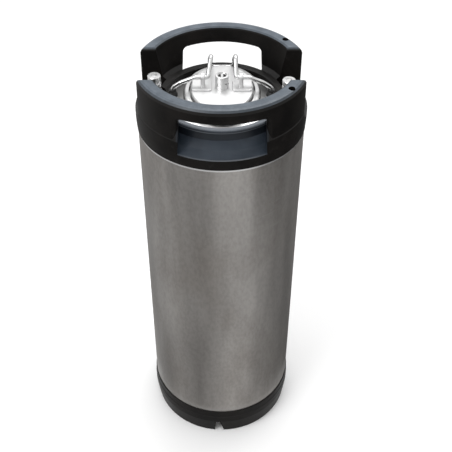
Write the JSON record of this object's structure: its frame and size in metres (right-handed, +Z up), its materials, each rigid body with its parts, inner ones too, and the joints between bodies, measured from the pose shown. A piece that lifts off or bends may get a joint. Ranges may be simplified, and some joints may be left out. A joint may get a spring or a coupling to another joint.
{
  "type": "beer keg",
  "caption": "Tall stainless drinks keg with a rubber handle chime on top, a rubber base boot, an oval lid held by a wire bail, a relief valve and quick-connect posts.",
  "frame": {"origin": "on the floor under the keg's axis, at the centre of the boot's underside", "axes": "+Z up along the keg's axis, -Y towards the front handle, +X towards the liquid post"},
  "size_m": [0.2196, 0.2196, 0.621],
  "materials": {
    "brushed_shell": "brushed, slightly soiled",
    "polished_steel": "bright polished",
    "polished_wire": "polished wire",
    "turned_steel": "turned and polished",
    "black_rubber": "satin moulded",
    "seal_rubber": "soft moulded"
  },
  "bodies": {
    "keg": {"tank_body": "brushed_shell", "top_head": "polished_steel", "bottom_head": "brushed_shell", "top_chime": "black_rubber", "base_boot": "black_rubber", "lid_plate": "polished_steel", "lid_oring": "seal_rubber", "lid_bracket_left": "polished_steel", "lid_bracket_right": "polished_steel", "relief_boss": "turned_steel", "relief_retainer": "turned_steel", "relief_spring": "polished_wire", "gas_fitting": "polished_steel", "gas_post": "turned_steel", "gas_post_oring": "seal_rubber", "gas_spring": "polished_wire", "gas_dip_tube": "polished_steel", "gas_dip_oring": "seal_rubber", "liquid_fitting": "polished_steel", "liquid_post": "turned_steel", "liquid_post_oring": "seal_rubber", "liquid_spring": "polished_wire", "liquid_dip_tube": "polished_steel", "liquid_dip_oring": "seal_rubber"},
    "bail": {"bail": "polished_wire", "bail_foot_left": "seal_rubber", "bail_foot_right": "seal_rubber"},
    "gas_valve": {"gas_poppet": "turned_steel", "gas_poppet_seal": "seal_rubber"},
    "liquid_valve": {"liquid_poppet": "turned_steel", "liquid_poppet_seal": "seal_rubber"},
    "relief_valve": {"relief_poppet": "turned_steel", "relief_seal": "seal_rubber"}
  },
  "joints": [
    {"name": "bail_swing", "type": "hinge", "parent": "keg", "child": "bail", "pos_m": [0.0009, 0, 0.6], "axis": [1, 0, 0], "range_deg": [0, 100]},
    {"name": "gas_poppet_press", "type": "slide", "parent": "keg", "child": "gas_valve", "axis": [0, 0, -1], "range_m": [0, 0.003], "stiffness_N_per_m": 1200, "springref_m": -0.002, "deforming": ["gas_spring"]},
    {"name": "liquid_poppet_press", "type": "slide", "parent": "keg", "child": "liquid_valve", "axis": [0, 0, -1], "range_m": [0, 0.003], "stiffness_N_per_m": 1200, "springref_m": -0.002, "deforming": ["liquid_spring"]},
    {"name": "relief_lift", "type": "slide", "parent": "keg", "child": "relief_valve", "axis": [0, 0, 1], "range_m": [0, 0.0015], "stiffness_N_per_m": 1500, "springref_m": -0.003, "deforming": ["relief_spring"]}
  ]
}
